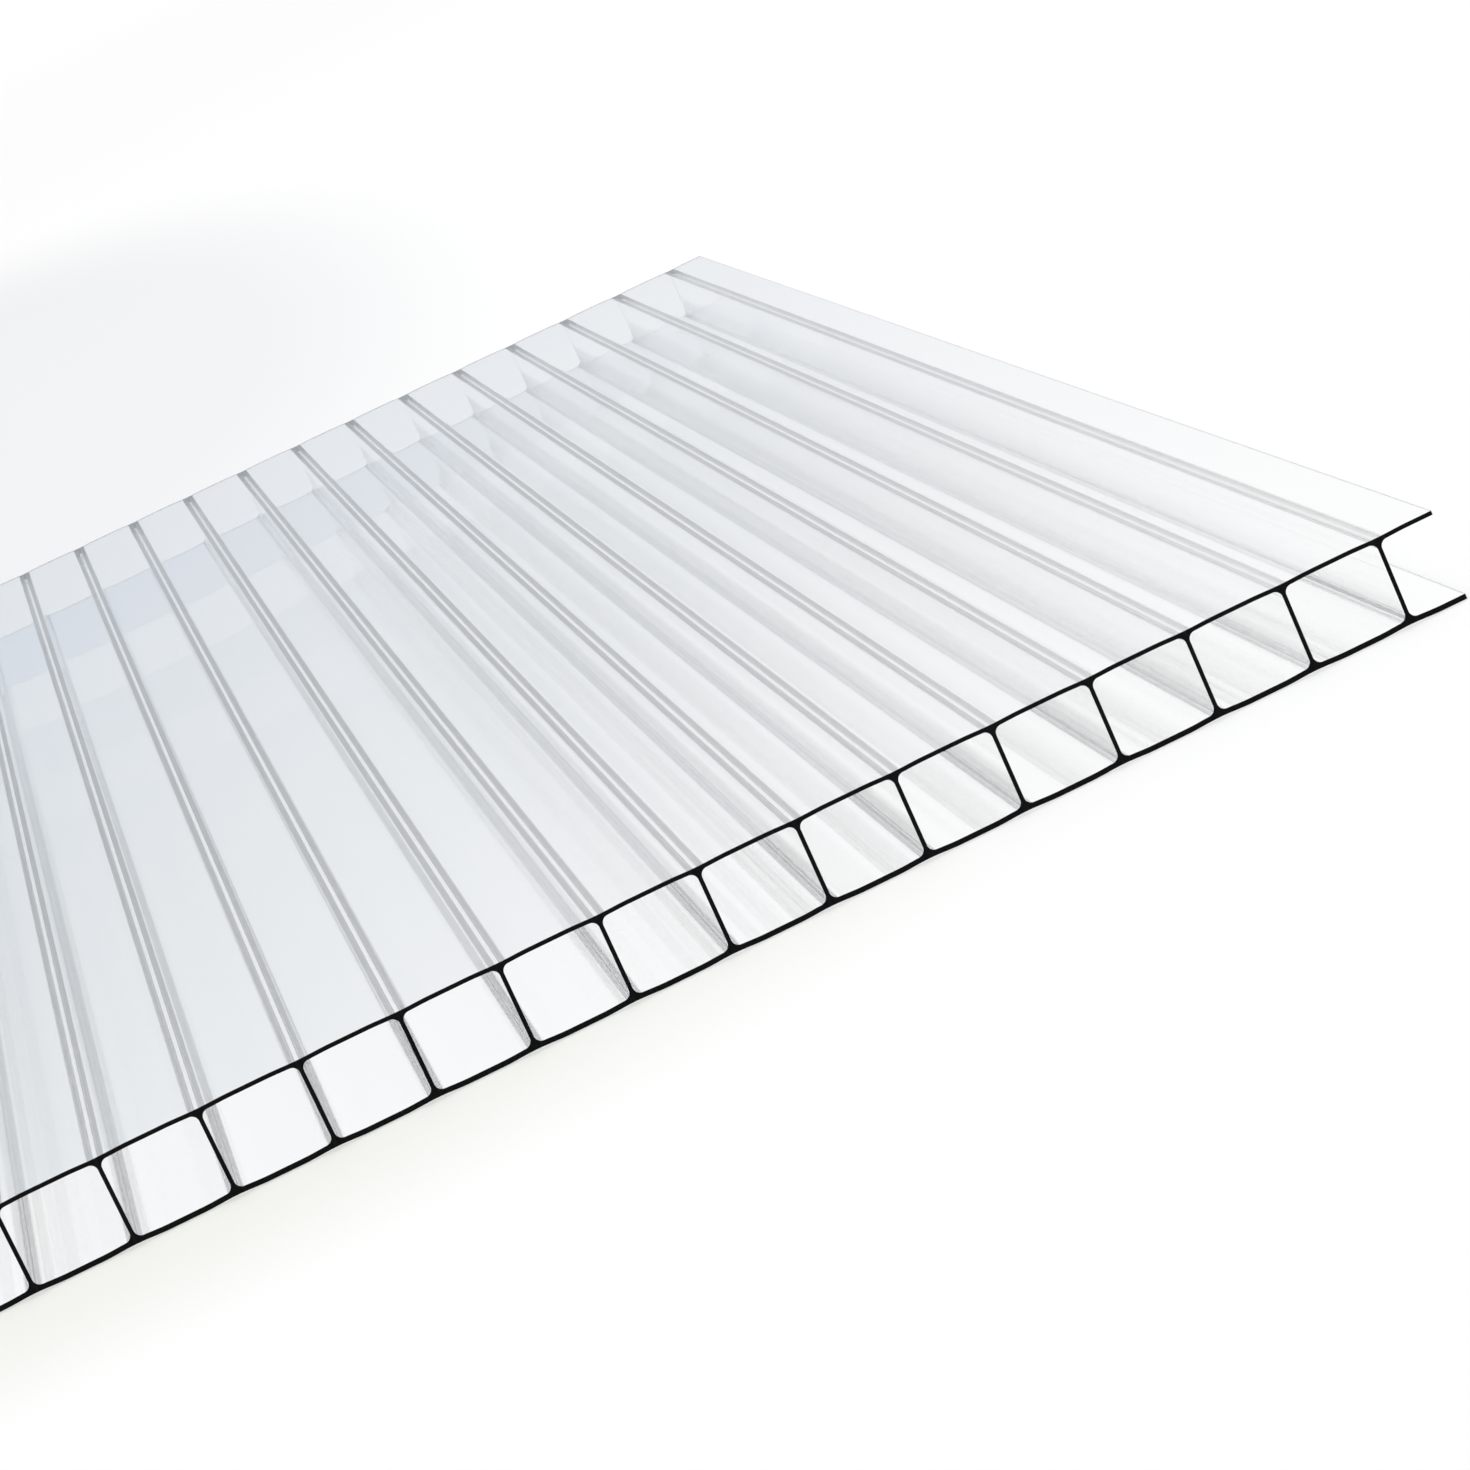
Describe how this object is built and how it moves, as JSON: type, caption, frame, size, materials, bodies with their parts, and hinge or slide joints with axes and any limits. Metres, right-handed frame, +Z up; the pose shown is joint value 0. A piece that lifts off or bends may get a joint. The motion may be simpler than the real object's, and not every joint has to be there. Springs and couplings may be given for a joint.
{
  "type": "multiwall polycarbonate sheet",
  "caption": "Clear extruded multiwall plastic glazing sheet, with upright ribs joining thin top and bottom skins into parallel flutes open at both sawn ends.",
  "frame": {"origin": "middle of the underside, on the surface that the sheet lies on", "axes": "+X across the flutes, +Y along the flutes, +Z up through the thickness"},
  "size_m": [0.297, 0.42, 0.01],
  "materials": {
    "clear_polycarbonate": "clear gloss, faintly grey-blue, with saw-cut ends that look dark"
  },
  "bodies": {
    "root": {"twin_wall_sheet": "clear_polycarbonate"}
  },
  "joints": []
}
